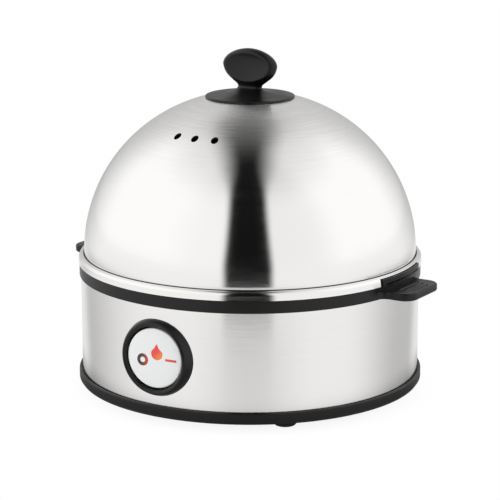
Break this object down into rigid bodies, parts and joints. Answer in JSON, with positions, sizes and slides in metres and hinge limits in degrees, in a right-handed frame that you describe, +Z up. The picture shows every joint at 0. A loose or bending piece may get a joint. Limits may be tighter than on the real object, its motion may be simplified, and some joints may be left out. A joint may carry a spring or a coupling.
{
  "type": "electric egg cooker",
  "caption": "Round table-top egg cooker: brushed steel drum with two black grips, rocker switch with a lit drop, egg tray, and domed steel lid with a black knob.",
  "frame": {"origin": "on the cooker's upright axis at the level of the feet's undersides", "axes": "+Z up along the drum's axis, -Y is the front with the switch, the two grips lie along +X and -X"},
  "size_m": [0.1918, 0.169, 0.1644],
  "materials": {
    "black_plastic": "satin moulded",
    "tray_plastic": "satin moulded",
    "white_plastic": "smooth moulded",
    "natural_plastic": "moulded",
    "heat_black": "moulded, heat-proof",
    "lamp_red": "clear red moulded",
    "brushed_steel": "brushed around",
    "pan_steel": "deep drawn, satin",
    "tube_steel": "satin",
    "zinc_steel": "zinc plated",
    "cast_aluminium": "as cast",
    "contact_brass": "bright",
    "rubber": "moulded",
    "silicone": "translucent white",
    "lamp_glass": "clear",
    "lead_skin": "silicone skin"
  },
  "bodies": {
    "housing": {"base_tray": "black_plastic", "rubber_feet": "rubber", "base_screws": "zinc_steel", "drum_shell": "brushed_steel", "handle_ring": "black_plastic", "water_pan": "pan_steel", "pan_gasket": "silicone", "pan_stud": "zinc_steel", "heat_plate": "cast_aluminium", "heating_element": "tube_steel", "element_tabs": "zinc_steel", "clamp_bar": "zinc_steel", "clamp_nut": "zinc_steel", "thermostat": "heat_black", "thermostat_bracket": "zinc_steel", "plate_screws": "zinc_steel", "thermal_fuse": "tube_steel", "fuse_clip": "zinc_steel", "terminal_block": "natural_plastic", "buzzer": "heat_black", "cord_gland": "black_plastic", "switch_bezel": "black_plastic", "switch_body": "heat_black", "switch_terminals": "contact_brass", "indicator_lamp": "lamp_glass", "inner_leads": "lead_skin"},
    "tray": {"egg_tray": "tray_plastic"},
    "lid": {"lid_dome": "brushed_steel", "lid_knob": "black_plastic", "knob_washer": "zinc_steel", "knob_screw": "zinc_steel"},
    "rocker": {"rocker_cap": "white_plastic", "drop_lens": "lamp_red", "plunger": "natural_plastic", "plunger_spring": "zinc_steel"},
    "lever": {"contact_lever": "contact_brass"}
  },
  "joints": [
    {"name": "tray_lift", "type": "slide", "parent": "housing", "child": "tray", "axis": [0, 0, 1], "range_m": [0, 0.12]},
    {"name": "lid_lift", "type": "slide", "parent": "tray", "child": "lid", "axis": [0, 0, 1], "range_m": [0, 0.15]},
    {"name": "rocker_hinge", "type": "hinge", "parent": "housing", "child": "rocker", "pos_m": [0, -0.0792, 0.0325], "axis": [0, 0, -1], "range_deg": [0, 8]},
    {"name": "lever_tilt", "type": "hinge", "parent": "housing", "child": "lever", "pos_m": [0, -0.0685, 0.0275], "axis": [0, 0, -1], "range_deg": [-10, 0]}
  ],
  "couplings": [
    {"joint": "lever_tilt", "follows": "rocker_hinge", "ratio": -1.25}
  ]
}
